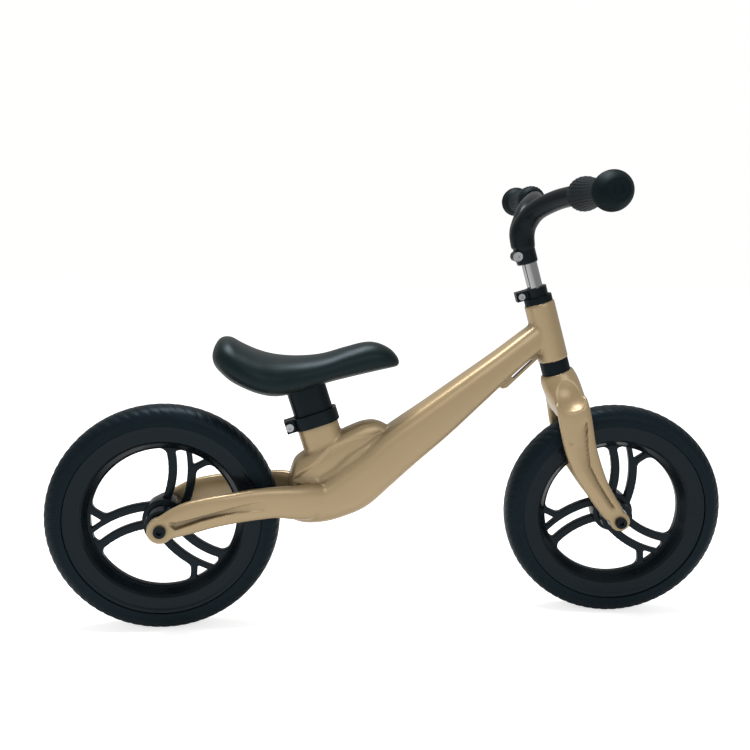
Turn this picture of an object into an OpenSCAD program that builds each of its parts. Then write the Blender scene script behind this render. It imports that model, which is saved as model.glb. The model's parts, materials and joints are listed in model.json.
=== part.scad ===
// Child's balance bike with a one-piece cast frame and fork, foam tyres on
// moulded three-spoke wheels, a sliding saddle and a sliding handlebar.
// X points forwards, Y to the rider's left, Z up. The origin lies on the
// ground, midway between the two axles.

/* [Wheels] */
// Distance between the two axles with the front wheel straight
wheelbase = 607; // [570:1:640]
// Outer radius of the tyres
tyre_r = 148.5; // [142:0.5:155]
// Width of the tyres
tyre_w = 45; // [40:1:48]
// Radius of the tyre seat in the rim
seat_r = 112; // [108:1:116]
// Height of the rim flange above the tyre seat
flange_h = 12; // [6:1:14]
// Radius of the opening inside the rim
window_r = 92; // [84:1:95]
// Depth of the spokes across the wheel
spoke_d = 9; // [7:1:16]
// Radius of the arc that each spoke pair follows
spoke_arc_r = 121; // [115:1:128]
// Distance of that arc's centre from the axle
spoke_arc_d = 118; // [114:1:122]
// Width of the slot between the two bars of a spoke
spoke_slot = 13; // [8:1:14]
// Width of each spoke bar
spoke_bar = 11; // [9:1:13]
// Angle by which the front wheel's spokes lead the rear wheel's
front_phase = 9; // [0:1:119]
// Radius of the hub barrel
hub_r = 21; // [18:1:24]
// Length of the rear hub barrel
rear_hub_l = 80; // [70:1:84]
// Length of the front hub barrel
front_hub_l = 68; // [60:1:72]

/* [Axles and bearings] */
// Radius of the wheel axles
axle_r = 6; // [5:0.5:7]
// Outer radius of the wheel bearings
wheel_bearing_r = 14; // [12:0.5:15]
// Width of one wheel bearing
wheel_bearing_w = 8; // [6:1:10]
// Radius of the axle bolts' shanks
axle_bolt_r = 4; // [3:0.5:4]
// Radius of the axle bolts' heads
bolt_head_r = 7.5; // [7:0.5:10]
// Height of the axle bolts' heads
bolt_head_h = 5; // [4:0.5:6]

/* [Fork and steering] */
// Tilt of the steering axis from upright
head_tilt = 18; // [15:0.5:22]
// How far the front wheel is turned to the right at rest
rest_steer = 8.5; // [0:0.5:30]
// How far the handlebar is turned to the right at rest
bar_steer = 4.5; // [0:0.5:30]
// Distance of the front axle ahead of the steering axis
rake = 26; // [15:1:35]
// Distance from the foot of the head tube down to the front axle
fork_drop = 229; // [220:1:240]
// Outer radius of the head tube
head_r = 20; // [19.5:0.5:23]
// Length of the head tube
head_l = 80; // [70:1:95]
// Height of the cover between head tube and fork crown
lower_cover_h = 17; // [10:1:20]
// Outer radius of the steerer tube
steerer_r = 12.7; // [12:0.1:13.5]
// Outer radius of the headset bearings
head_bearing_r = 17; // [16:0.5:18]
// Height of a headset bearing
head_bearing_h = 7; // [5:1:9]
// Height of the upper headset cover
upper_cover_h = 8; // [7:0.5:14]
// Height of the clamp collar on top of the steerer
collar_h = 12.5; // [11:0.5:18]
// Outer radius of the clamp collar
collar_r = 14.5; // [14.5:0.5:18]
// Clearance between the tyre and the arch of the fork crown
arch_gap = 9.5; // [6:0.5:14]
// Thickness of a fork leg's foot
fork_foot_t = 13; // [10:1:15]

/* [Handlebar] */
// Radius of the handlebar post
bar_post_r = 10; // [9:0.25:10.5]
// Height of the handlebar's foot above the head tube's foot
stem_foot = 134; // [125:1:150]
// Height of the grips above the head tube's foot
grip_rise = 206; // [195:1:225]
// Distance of the grips ahead of the steering axis
grip_reach = 53; // [40:1:65]
// Distance from the middle to the centre of a grip's end knob
knob_y = 212; // [195:1:225]
// Length of a grip from its inner end to the centre of its knob
grip_l = 105; // [90:1:115]
// Radius of the handlebar inside the grips
bar_r = 11; // [9:0.5:12]

/* [Frame] */
// Thickness of the rear arms at the axle
arm_foot_t = 13; // [10:1:15]
// Depth of the long channels in the rear arms and fork legs
channel_d = 2.5; // [1:0.5:4]
// Length of the strap under the down tube, behind the head tube
strap_l = 88; // [70:1:95]
// Thickness of that strap
strap_t = 3.2; // [2:0.2:5]
// Width of that strap
strap_w = 8; // [6:1:16]
// Wall of the seat tube
seat_tube_wall = 1.5; // [1.5:0.5:4]

/* [Saddle] */
// Tilt of the seat post from upright
seat_tilt = 18; // [14:1:22]
// Length of the seat post's section, fore and aft
seat_post_l = 51.6; // [46:0.2:56]
// Width of the seat post's section
seat_post_w = 29; // [24:1:32]
// Height of the seat clamp band
seat_clamp_h = 17; // [13:1:20]
// Length of post showing between clamp and saddle
post_show = 39; // [31:1:60]
// Length of post inside the frame, below the clamp
post_insert = 74; // [50:1:80]
// Largest width of the saddle
saddle_w = 122; // [100:2:140]

/* [Fits] */
// Radial clearance of a running or sliding fit
fit = 0.05; // [0.02:0.01:0.1]
// Gap between faces that pass each other
gap = 0.3; // [0.2:0.05:0.5]

/* [Hidden] */
$fn = 72;
gold = "#b9a27a";
black = "#17181b";
steel = "#b9bcc0";

// Steering: foot of the head tube, measured from the rear axle's ground point
head_x = wheelbase - fork_drop * sin(head_tilt) - rake * cos(head_tilt);
head_z = tyre_r + fork_drop * cos(head_tilt) - rake * sin(head_tilt);
fork_in = front_hub_l / 2 + 4;
arm_in = rear_hub_l / 2 + 4;
crown_top = -lower_cover_h;
steerer_top = head_l + gap + upper_cover_h + collar_h;
steerer_foot = crown_top - 26;
// Seat: middle of the clamp's lower edge
seat_x = 195.7;
seat_z = 270.7;
seat_tube_l = seat_post_l + 2 * seat_tube_wall;
seat_tube_w = seat_post_w + 2 * seat_tube_wall;
saddle_foot = seat_clamp_h + post_show;
// Saddle screws: distance from the post's middle, radius, depth of the socket
screw_x = 14;
screw_r = 2.5;
socket_h = 13;
// Power of the tyre section's curve, 1 for a circle and less for a squarer one
tyre_round = 0.77;
// Middle of the arch that the fork crown makes over the tyre
arch_r = tyre_w / 2 + 7.5;
arch_h = -fork_drop + tyre_r + arch_gap - arch_r;
// Height of the bolt heads' chamfer
bolt_chamfer = 0.8;
// Radius of the clamps' cross bolts, length of the seat clamp's ear
cross_bolt_r = 2.5;
ear_l = 10;

// ---------- shapes shared by several pieces ----------

// Catmull-Rom value between b and c at t, with a and d beyond them
function blend(a, b, c, d, t) =
    0.5 * (2 * b + (c - a) * t + (2 * a - 5 * b + 4 * c - d) * t * t
           + (3 * b - a - 3 * c + d) * t * t * t);

// Keys with `steps` smooth steps put into each stretch between them
function smooth(keys, steps) =
    let (n = len(keys) - 1)
    [for (i = [0:n - 1], s = [0:steps - 1])
        blend(keys[max(i - 1, 0)], keys[i], keys[i + 1], keys[min(i + 2, n)], s / steps),
     keys[n]];

function unit(v) = v / norm(v);
function power(x, e) = sign(x) * pow(abs(x), e);

// One ring of a loft. A key is [x, y, z, up, down, half width, squareness]:
// the ring stands across the path, with its width along Y.
function ring(keys, i, sides) =
    let (k = keys[i], p = keys[max(i - 1, 0)], q = keys[min(i + 1, len(keys) - 1)],
         t = unit([q[0] - p[0], 0, q[2] - p[2]]), u = [t[2], 0, -t[0]], e = 2 / k[6])
    [for (j = [0:sides - 1])
        let (a = 360 * (j + 0.5) / sides, s = sin(a), h = s > 0 ? k[3] : k[4])
        [k[0], k[1], k[2]] + u * h * power(s, e) - [0, k[5] * power(cos(a), e), 0]];

// Upright ring, square to X, whose widest line lies at the height `mid`
function upright(x, top, bottom, mid, half, square, sides) =
    [for (j = [0:sides - 1])
        let (a = 360 * (j + 0.5) / sides, u = sin(a), e = 2 / square)
        [x, -half * power(cos(a), e), mid + (u > 0 ? top - mid : mid - bottom) * power(u, e)]];

// Closed skin over a list of rings that all have the same number of points
module skin(rings) {
    n = len(rings);
    m = len(rings[0]);
    polyhedron(
        points = [for (r = rings, p = r) p],
        faces = concat(
            [[for (j = [0:m - 1]) j]],
            [for (i = [0:n - 2], j = [0:m - 1], f = [0, 1])
                let (a = i * m + j, b = i * m + (j + 1) % m)
                f == 0 ? [a, a + m, b] : [b, a + m, b + m]],
            [[for (j = [m - 1:-1:0]) (n - 1) * m + j]]),
        convexity = 6);
}

// Smooth body through the keys. They are listed from front to back, or from
// top to bottom, where `up` is the rear side: the other way round turns the
// body inside out.
module loft(keys, steps = 3, sides = 20) {
    k = smooth(keys, steps);
    skin([for (i = [0:len(k) - 1]) ring(k, i, sides)]);
}

// Round bar along a path of [x, y, z, radius] keys that never runs along X
module bar(keys, steps = 4, sides = 18) {
    k = smooth(keys, steps);
    n = len(k) - 1;
    skin([for (i = [0:n])
        let (p = k[max(i - 1, 0)], q = k[min(i + 1, n)],
             t = unit([q[0] - p[0], q[1] - p[1], q[2] - p[2]]),
             u = unit(cross([1, 0, 0], t)), v = cross(t, u))
        [for (j = [0:sides - 1])
            let (a = 360 * j / sides)
            [k[i][0], k[i][1], k[i][2]] + k[i][3] * (u * cos(a) + v * sin(a))]]);
}

// Flat-sided oval of length l along X and width w
module oval(l, w) {
    square([l - w, w], center = true);
    for (s = [-1, 1]) translate([s * (l - w) / 2, 0]) circle(d = w);
}

// Cylinder along Y between y0 and y1
module rod_y(r, y0, y1) {
    translate([0, y1, 0]) rotate([90, 0, 0]) cylinder(r = r, h = y1 - y0);
}

// ---------- places ----------

// From the rear axle's ground point to the origin between the axles
module on_bike() { translate([-wheelbase / 2, 0, 0]) children(); }
module at_rear_axle() { on_bike() translate([0, 0, tyre_r]) children(); }
// Head tube frame: Z runs up the steering axis from the tube's foot
module at_head() { on_bike() translate([head_x, 0, head_z]) rotate([0, -head_tilt, 0]) children(); }
module steered() { at_head() rotate([0, 0, -rest_steer]) children(); }
module bar_steered() { at_head() rotate([0, 0, -bar_steer]) children(); }
module at_front_axle() { steered() translate([rake, 0, -fork_drop]) rotate([0, head_tilt, 0]) children(); }
// Seat frame: Z runs up the post from the clamp's lower edge
module at_seat() { on_bike() translate([seat_x, 0, seat_z]) rotate([0, -seat_tilt, 0]) children(); }

// ---------- wheels ----------

arc_c = spoke_arc_d * [cos(266), sin(266)];

// Part of a ring round the spoke's arc centre, from radius r0 to r1
module arc_band(r0, r1, a0, a1) {
    translate(arc_c) intersection() {
        difference() {
            circle(r = r1, $fn = 120);
            circle(r = r0, $fn = 120);
        }
        polygon([[0, 0], for (a = [a0, (a0 + a1) / 2, a1]) 300 * [cos(a), sin(a)]]);
    }
}

module rounded(r) { offset(r = r) offset(delta = -r) children(); }

module corner_window() {
    rounded(1.5) polygon([for (p = [[window_r + 2, 175.5], [window_r + 2, 188], [window_r - 13.5, 182]])
                          p[0] * [cos(p[1]), sin(p[1])]]);
}

module spoke_windows() {
    half = spoke_slot / 2 + spoke_bar;
    rounded(9) difference() {
        circle(r = window_r, $fn = 96);
        circle(r = hub_r + 4);
        for (k = [0:2]) rotate(120 * k) {
            arc_band(spoke_arc_r - half, spoke_arc_r + half, 84, 142);
            offset(delta = 8.5) corner_window();
        }
    }
    for (k = [0:2]) rotate(120 * k) {
        rounded(2) arc_band(spoke_arc_r - spoke_slot / 2, spoke_arc_r + spoke_slot / 2, 93, 132);
        corner_window();
    }
}

module rim(phase, hub_l) {
    lip = seat_r + flange_h;
    half = tyre_w / 2;
    wall = seat_r - window_r;
    difference() {
        union() {
            rotate([90, 0, 0]) rotate_extrude() for (m = [0, 1]) mirror([0, m])
                polygon([[window_r, 0], [window_r, 4], [window_r + wall * 0.15, 6.5],
                         [window_r + wall * 0.45, half - 8], [window_r + wall * 0.6, half - 5],
                         [lip - 6, half - 4], [lip, half - 2.2], [lip, half - 4],
                         [seat_r, half - 6.2], [seat_r, 0]]);
            rotate([90, 0, 0]) linear_extrude(spoke_d, center = true) difference() {
                circle(r = window_r + 3, $fn = 96);
                rotate(phase) spoke_windows();
            }
            rod_y(hub_r, -hub_l / 2, hub_l / 2);
            for (s = [-1, 1]) rod_y(hub_r + 6, min(0, s * 13), max(0, s * 13));
        }
        rod_y(wheel_bearing_r - 2, -hub_l, hub_l);
        for (s = [-1, 1]) scale([1, s, 1])
            rod_y(wheel_bearing_r + fit, hub_l / 2 - wheel_bearing_w - 1, hub_l);
    }
}

// Rounded square of half width r, between a circle and a square
module soft_square(r) {
    polygon([for (a = [0:10:350]) r * [power(cos(a), tyre_round), power(sin(a), tyre_round)]]);
}

module tyre() {
    lip = seat_r + flange_h + gap;
    half = tyre_w / 2;
    rotate([90, 0, 0]) rotate_extrude() difference() {
        union() {
            translate([tyre_r - half, 0]) soft_square(half);
            translate([seat_r + fit, -half + 6.5]) square([tyre_r - half - seat_r, tyre_w - 13]);
        }
        for (s = [-1, 1]) translate([seat_r - 20, s > 0 ? half - 6.2 : -half - 20 + 6.2])
            square([lip - seat_r + 20, 20]);
        translate([seat_r - 60, -half - 1]) square([60 + fit, tyre_w + 2]);
    }
}

module bearings(hub_l) {
    for (s = [-1, 1]) scale([1, s, 1]) difference() {
        rod_y(wheel_bearing_r, hub_l / 2 - wheel_bearing_w - 1, hub_l / 2 - 1);
        rod_y(axle_r + fit, 0, hub_l);
    }
}

module hub_spacer(hub_l) {
    reach = hub_l / 2 - wheel_bearing_w - 1 - gap;
    difference() {
        rod_y(axle_r + 2.5, -reach, reach);
        rod_y(axle_r + fit, -hub_l, hub_l);
    }
}

module axle(foot_in) {
    difference() {
        rod_y(axle_r, -foot_in, foot_in);
        for (s = [-1, 1]) scale([1, s, 1]) rod_y(axle_bolt_r + fit, foot_in - 22, foot_in + 1);
    }
}

module axle_spacers(hub_l, foot_in) {
    for (s = [-1, 1]) scale([1, s, 1]) difference() {
        rod_y(axle_r + 2.5, hub_l / 2 - 1 + gap, foot_in);
        rod_y(axle_r + fit, 0, foot_in + 1);
    }
}

module axle_bolts(foot_in, foot_t) {
    seat = foot_in + foot_t;
    side = bolt_head_h - bolt_chamfer;
    for (s = [-1, 1]) scale([1, s, 1]) difference() {
        union() {
            rod_y(bolt_head_r, seat, seat + side);
            translate([0, seat + side, 0]) rotate([-90, 0, 0])
                cylinder(r1 = bolt_head_r, r2 = bolt_head_r - bolt_chamfer, h = bolt_chamfer);
            rod_y(axle_bolt_r, foot_in - 18, seat + 1);
        }
        translate([0, seat + 1.5, 0]) rotate([-90, 0, 0]) cylinder(r = 3.5, h = bolt_head_h, $fn = 6);
    }
}

// Bolt hole through a dropout
module bolt_hole(foot_in, foot_t) {
    rod_y(axle_bolt_r + gap, foot_in - 30, foot_in + foot_t + 5);
}

// ---------- frame ----------

tube_foot = [300, 242.5];
tube_head = [head_x - 18, head_z + 37];
tube_angle = atan2(tube_head[1] - tube_foot[1], tube_head[0] - tube_foot[0]);
function tube_key(t, up, down, half) =
    let (p = tube_foot + t * (tube_head - tube_foot)) [p[0], 0, p[1], up, down, half, 3.2];

main_keys = [
    tube_key(1, 17, 17, 16), tube_key(0.86, 17.5, 19, 17.5), tube_key(0.72, 18, 21.5, 18.5),
    tube_key(0.5, 20.5, 27, 20), tube_key(0.25, 23.5, 33, 22), tube_key(0, 27, 36, 24.5),
    [270, 0, 216, 27, 36.5, 27, 3.2], [240, 0, 193.5, 29, 39.5, 29, 3.2],
    [213, 0, 178, 26, 34.5, 31, 3.2], [190, 0, 171.5, 23, 31.5, 32, 3],
    [174, 0, 171, 20, 29, 30, 2.8], [165, 0, 173, 14, 24, 24, 2.6]];

// Raised fairing between the seat tube and the down tube:
// [x, height of the top, height of the bottom, half width]
hump_shape = [
    [292, 266, 258, 5], [287, 270, 245, 11], [278, 274.5, 230, 14.5], [267, 276.5, 222, 16.5],
    [254, 274.5, 212, 18.5], [240, 269, 205, 20], [226, 262, 200, 21], [205, 249, 195, 22.5],
    [185, 238, 188, 22.5], [174, 231.5, 185, 21], [166, 223, 184, 18], [160.5, 207, 190, 11]];

function arm_keys(s) = [
    [206, s * 19, 177, 18, 19.5, 12, 2.8], [186, s * 27, 177, 20, 26, 11, 2.8],
    [165, s * 34, 177.5, 20, 24, 9.5, 2.8], [143, s * 39, 178.5, 19.5, 21, 8, 3],
    [118, s * 43, 177.5, 19.5, 21, 7, 3.2], [90, s * (arm_in + 2.5), 174.5, 19, 20.5, 6.8, 3.4],
    [60, s * (arm_in + 5), 170, 19.5, 21, 6.6, 3.4],
    [32, s * (arm_in + arm_foot_t / 2), 162.5, 20, 20.5, arm_foot_t / 2, 3.4],
    [6, s * (arm_in + arm_foot_t / 2), 152, 16, 16.5, arm_foot_t / 2, 3.4]];

// Long tapering channel along the outer face of an arm
function channel_keys(s) = [
    [128, s * 49.6, 177.5, 0.6, 0.6, channel_d * 0.3, 3], [105, s * 52.2, 176.3, 4.2, 4.2, channel_d, 3],
    [75, s * (arm_in + 10.4), 173.5, 5.4, 5.4, channel_d, 3],
    [45, s * (arm_in + 12.5), 168, 6, 6, channel_d, 3],
    [20, s * (arm_in + arm_foot_t), 160.5, 5.5, 5.5, channel_d, 3]];

module frame() {
    color(gold) difference() {
        union() {
            on_bike() loft(main_keys);
            on_bike() skin([for (k = smooth(hump_shape, 3))
                upright(k[0], k[1], k[2], k[2] + 0.35 * (k[1] - k[2]), k[3], 2.8, 20)]);
            for (s = [-1, 1]) on_bike() loft(arm_keys(s), sides = 16);
            for (s = [-1, 1]) scale([1, s, 1])
                at_rear_axle() rod_y(16.5, arm_in, arm_in + arm_foot_t);
            at_head() cylinder(r = head_r, h = head_l);
            at_seat() translate([0, 0, -60]) linear_extrude(60 + seat_clamp_h - 2)
                oval(seat_tube_l, seat_tube_w);
            guide_loop();
        }
        at_head() {
            translate([0, 0, -1]) cylinder(r = head_bearing_r - 1.5, h = head_l + 2);
            for (z = [-1, head_l - head_bearing_h]) translate([0, 0, z])
                cylinder(r = head_bearing_r + fit, h = head_bearing_h + 1);
        }
        at_seat() translate([0, 0, -post_insert - 31]) linear_extrude(post_insert + 31 + seat_clamp_h)
            oval(seat_post_l + 2 * fit, seat_post_w + 2 * fit);
        at_seat() translate([-seat_tube_l, -1, -4]) cube([seat_tube_l, 2, seat_clamp_h + 4]);
        for (s = [-1, 1]) on_bike() loft(channel_keys(s), sides = 12);
        for (s = [-1, 1]) scale([1, s, 1]) at_rear_axle() bolt_hole(arm_in, arm_foot_t);
    }
}

// Thin strap under the down tube, just behind the head tube. Its outline is
// [distance along the tube from its head, distance below the tube's axis].
module guide_loop() {
    on_bike() translate([tube_head[0], 0, tube_head[1]]) rotate([90, -tube_angle, 0])
        linear_extrude(strap_w, center = true) difference() {
            polygon([[-strap_l - 4, -20], [-strap_l, -28.5], [-strap_l + 6, -31], [-27, -25.4],
                     [6, -20.5], [6, -14], [-strap_l - 4, -14]]);
            polygon([[-strap_l + 20, -29.7 + strap_t], [-33, -26 + strap_t], [-31, -12],
                     [-strap_l + 18, -12]]);
        }
}

module seat_clamp() {
    outer_l = seat_tube_l + 6;
    color(black) at_seat() difference() {
        linear_extrude(seat_clamp_h) {
            oval(outer_l, seat_tube_w + 6);
            translate([-outer_l / 2 - ear_l, -9]) square([ear_l + 5, 18]);
        }
        translate([0, 0, -1]) linear_extrude(seat_clamp_h - 1) oval(seat_tube_l + 2 * fit, seat_tube_w + 2 * fit);
        translate([0, 0, -1]) linear_extrude(seat_clamp_h + 2) oval(seat_post_l + 1, seat_post_w + 1);
        translate([-outer_l / 2 - ear_l - 1, -1, -1]) cube([ear_l + 11, 2, seat_clamp_h + 2]);
        translate([-outer_l / 2 - ear_l / 2, 0, seat_clamp_h / 2]) rod_y(cross_bolt_r + 0.1, -20, 20);
    }
}

// Cross bolt with a socket head on the right and a nut on the left
module cross_bolt(reach, head) {
    difference() {
        union() {
            rod_y(cross_bolt_r, -reach - 1, reach + 4);
            rod_y(head, -reach - 4, -reach);
            translate([0, reach, 0]) rotate([-90, 0, 0]) cylinder(r = 4.6, h = 3.5, $fn = 6);
        }
        translate([0, -reach - 2, 0]) rotate([90, 0, 0]) cylinder(r = 2, h = 4, $fn = 6);
    }
}

module seat_clamp_bolt() {
    color(steel) at_seat() translate([-seat_tube_l / 2 - 3 - ear_l / 2, 0, seat_clamp_h / 2]) cross_bolt(9, 5.2);
}

// ---------- saddle ----------

module seat_post() {
    color(black) at_seat() difference() {
        translate([0, 0, -post_insert]) linear_extrude(post_insert + saddle_foot + 9)
            oval(seat_post_l, seat_post_w);
        translate([0, 0, -post_insert - 1]) linear_extrude(post_insert + saddle_foot + 4)
            oval(seat_post_l - 5, seat_post_w - 5);
        for (s = [-1, 1]) translate([s * screw_x, 0, saddle_foot]) cylinder(r = screw_r + fit, h = 20);
    }
}

// Saddle outline, placed from the middle of its foot on the post:
// [x, height of the top, height of the bottom, half width as a share of the whole]
saddle_shape = [
    [122, 31, 28.5, 0.05], [119, 38, 24.5, 0.13], [110, 47, 22, 0.185], [94, 54, 18.5, 0.225],
    [77, 54.6, 14.5, 0.24], [52, 48, 8.6, 0.26], [22, 39, 1, 0.31], [-8, 35.8, -9, 0.38],
    [-36, 37, -14, 0.46], [-58, 42, -10.6, 0.5], [-78, 50.5, -3, 0.485], [-94, 59, 5.5, 0.44],
    [-106, 58, 16, 0.37], [-113, 49.5, 24.5, 0.27], [-116, 41, 32, 0.12]];

// Body of the saddle, padding and base together
module saddle_body() {
    skin([for (k = smooth(saddle_shape, 3))
        upright(k[0], k[1], k[2], k[2] + 0.45 * (k[1] - k[2]), k[3] * saddle_w, 2.3, 24)]);
}

// Tray-shaped body of the base, which follows the saddle's underside
module base_body(rise, drop, grow) {
    keys = [for (i = [3:12]) saddle_shape[i]];
    skin([for (k = smooth(keys, 2))
        upright(k[0], k[2] + 6 + rise, k[2] - drop, k[2] + 6, k[3] * saddle_w * 0.62 + grow, 3, 14)]);
}

// Level frame at the saddle's foot
module at_saddle() { at_seat() translate([0, 0, saddle_foot]) rotate([0, seat_tilt, 0]) children(); }

module saddle_pad() {
    color(black) difference() {
        at_saddle() saddle_body();
        at_saddle() base_body(2 + gap, 4, gap);
        at_seat() translate([0, 0, saddle_foot - 20]) linear_extrude(20 + socket_h + 3)
            oval(seat_post_l + 6 + 2 * gap, seat_post_w + 6 + 2 * gap);
    }
}

module saddle_base() {
    color(black) difference() {
        union() {
            intersection() {
                at_saddle() base_body(2, 4, 0);
                at_saddle() saddle_body();
            }
            at_seat() translate([0, 0, saddle_foot + 1]) linear_extrude(socket_h)
                oval(seat_post_l + 6, seat_post_w + 6);
        }
        at_seat() translate([0, 0, saddle_foot - 20]) linear_extrude(20 + 9 + fit)
            oval(seat_post_l + 2 * fit, seat_post_w + 2 * fit);
        for (s = [-1, 1]) at_seat() translate([s * screw_x, 0, saddle_foot]) {
            cylinder(r = screw_r + fit, h = 20);
            translate([0, 0, socket_h + 1]) cylinder(r = screw_r + 2 + gap, h = 20);
        }
    }
}

module saddle_screws() {
    color(steel) at_seat() for (s = [-1, 1]) translate([s * screw_x, 0, saddle_foot]) {
        translate([0, 0, 6]) cylinder(r = screw_r, h = socket_h - 4);
        translate([0, 0, socket_h + 1]) cylinder(r = screw_r + 2, h = 1.7);
    }
}

// ---------- fork ----------

crown_keys = [
    [1, 0, crown_top, 22.5, 20.5, 21, 2], [1.5, 0, crown_top - 8, 25, 22.5, 22, 2.2],
    [2.5, 0, crown_top - 19, 25.5, 23.5, 28, 2.5], [3, 0, crown_top - 31, 24, 23.5, 36, 2.8],
    [4, 0, crown_top - 44, 22.5, 22.5, 42, 3.2], [4, 0, crown_top - 57, 21, 21, 44, 3.6]];

// Legs and their channels run down the steering axis, by shares of the drop
function leg_key(x, y, share, w, t, square) = [x, y, -fork_drop * share, w, w, t, square];
leg_y = fork_in + fork_foot_t / 2;
function leg_keys(s) = [
    leg_key(3.8, s * 31, 0.228, 21.5, 11, 3), leg_key(3.6, s * 36, 0.307, 21.8, 8.5, 3),
    leg_key(1.9, s * 38, 0.395, 22, 7.5, 3.2), leg_key(0.2, s * 39.5, 0.487, 21.3, 7, 3.4),
    leg_key(0.6, s * 41, 0.575, 20.5, 6.5, 3.4), leg_key(3, s * 42.5, 0.667, 18.8, 6.5, 3.4),
    leg_key(8, s * (leg_y - 1), 0.772, 16.3, 6.5, 3.4),
    leg_key(rake - 11.3, s * leg_y, 0.873, 15, fork_foot_t / 2, 3.4),
    leg_key(rake - 4.2, s * leg_y, 0.956, 13.8, fork_foot_t / 2, 3.4)];

function leg_channel_keys(s) = [
    leg_key(14, s * 45, 0.35, 0.5, channel_d * 0.4, 3), leg_key(11, s * 45.6, 0.43, 2.4, channel_d, 3),
    leg_key(5.5, s * 47.4, 0.57, 3.4, channel_d, 3), leg_key(6, s * 49, 0.69, 3.6, channel_d, 3),
    leg_key(12.5, s * (leg_y + 5.4), 0.8, 3.4, channel_d, 3), leg_key(18, s * (leg_y + 6.5), 0.88, 2.6, channel_d, 3)];

module fork() {
    color(gold) difference() {
        union() {
            steered() loft(crown_keys);
            for (s = [-1, 1]) steered() loft(leg_keys(s), sides = 16);
            for (s = [-1, 1]) scale([1, s, 1]) fork_boss(s);
        }
        steered() translate([0, 0, crown_top]) cylinder(r = 60, h = 20);
        // arch over the tyre
        steered() translate([0, 0, arch_h]) rotate([0, 90, 0]) cylinder(r = arch_r, h = 120, center = true);
        steered() translate([-60, -arch_r, arch_h - 80]) cube([120, 2 * arch_r, 80]);
        // scoops in the sides of the crown
        for (s = [-1, 1]) steered() translate([6, s * 56, crown_top - 14]) sphere(r = 34);
        for (s = [-1, 1]) steered() loft(leg_channel_keys(s), sides = 12);
        steered() translate([0, 0, steerer_foot]) cylinder(r = steerer_r + fit, h = 60);
        for (s = [-1, 1]) at_front_axle() scale([1, s, 1]) bolt_hole(fork_in, fork_foot_t);
    }
}

module fork_boss(s) {
    scale([1, s, 1]) at_front_axle() scale([1, s, 1]) rod_y(13.4, fork_in, fork_in + fork_foot_t);
}

module steerer_tube() {
    color(steel) steered() difference() {
        translate([0, 0, steerer_foot]) cylinder(r = steerer_r, h = steerer_top - steerer_foot - 2);
        translate([0, 0, steerer_foot - 1]) cylinder(r = bar_post_r + fit, h = steerer_top - steerer_foot + 2);
        translate([-steerer_r - 2, -1, head_l + upper_cover_h]) cube([steerer_r, 2, collar_h + 2]);
    }
}

module head_bearings() {
    color(steel) at_head() for (z = [0, head_l - head_bearing_h]) translate([0, 0, z]) difference() {
        cylinder(r = head_bearing_r, h = head_bearing_h);
        translate([0, 0, -1]) cylinder(r = steerer_r + fit, h = head_bearing_h + 2);
    }
}

module cover(z, r, h) {
    color(black) steered() translate([0, 0, z]) difference() {
        cylinder(r = r, h = h);
        translate([0, 0, -1]) cylinder(r = steerer_r + fit, h = h + 2);
    }
}
module lower_head_cover() { cover(crown_top, head_r - 1, lower_cover_h - gap); }
module upper_head_cover() { cover(head_l + gap, head_r - 1.5, upper_cover_h); }

collar_z = head_l + gap + upper_cover_h;
module steerer_collar() {
    color(black) steered() translate([0, 0, collar_z]) difference() {
        union() {
            cylinder(r = collar_r, h = collar_h);
            translate([-28, -8, 0]) cube([20, 16, collar_h]);
        }
        translate([0, 0, -1]) cylinder(r = steerer_r + fit, h = collar_h - 1);
        translate([0, 0, -1]) cylinder(r = bar_post_r + 1, h = collar_h + 2);
        translate([-30, -1, -1]) cube([22, 2, collar_h + 2]);
        translate([-21.5, 0, collar_h / 2]) rod_y(cross_bolt_r + 0.1, -20, 20);
    }
}

module collar_bolt() {
    color(steel) steered() translate([-21.5, 0, collar_z + collar_h / 2]) cross_bolt(8, 4.3);
}

// ---------- handlebar ----------

module handlebar_post() {
    color(steel) bar_steered() difference() {
        translate([0, 0, 15]) cylinder(r = bar_post_r, h = stem_foot + 19);
        translate([0, 0, 14]) cylinder(r = bar_post_r - 2, h = stem_foot + 16);
    }
}

// Pinch bolt of the stem: distance behind the axis, height, radii of its lug and head
pinch_x = -14.5;
pinch_z = stem_foot + 13;
pinch_r = 6.5;
pinch_head_r = 6;

function arm_path(s) =
    let (root = stem_foot + 22, y = knob_y - grip_l - 2 * gap) [
    [-2.5, 0, root, 15.5], [0.5, s * 2, root + 18, 16], [9, s * 10, grip_rise - 18, 14.5],
    [grip_reach * 0.4, s * 28, grip_rise - 7, 13.3], [grip_reach * 0.72, s * 60, grip_rise - 1, 12.6],
    [grip_reach * 0.97, s * (y - 14), grip_rise, 12], [grip_reach, s * (y - 6), grip_rise, 12],
    [grip_reach, s * y, grip_rise, 12]];

module handlebar() {
    color(black) bar_steered() difference() {
        union() {
            translate([-1.8, 0, stem_foot]) cylinder(r = 13.8, h = 30);
            translate([pinch_x, 0, pinch_z]) rod_y(pinch_r, -9, 9);
            for (s = [-1, 1]) bar(arm_path(s));
            for (s = [-1, 1]) scale([1, s, 1]) translate([grip_reach, 0, grip_rise])
                rod_y(bar_r, knob_y - grip_l - 8, knob_y + 4);
        }
        translate([0, 0, stem_foot - 1]) cylinder(r = bar_post_r + fit, h = 36);
        translate([pinch_x - 12, -1, stem_foot - 1]) cube([20, 2, 26]);
        translate([pinch_x, 0, pinch_z]) {
            rod_y(cross_bolt_r + 0.1, -20, 20);
            rod_y(pinch_head_r + gap, -30, -9);
            rod_y(5, 9, 30);
        }
    }
}

module handlebar_bolt() {
    color(steel) bar_steered() translate([pinch_x, 0, pinch_z]) cross_bolt(9, pinch_head_r);
}

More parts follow.
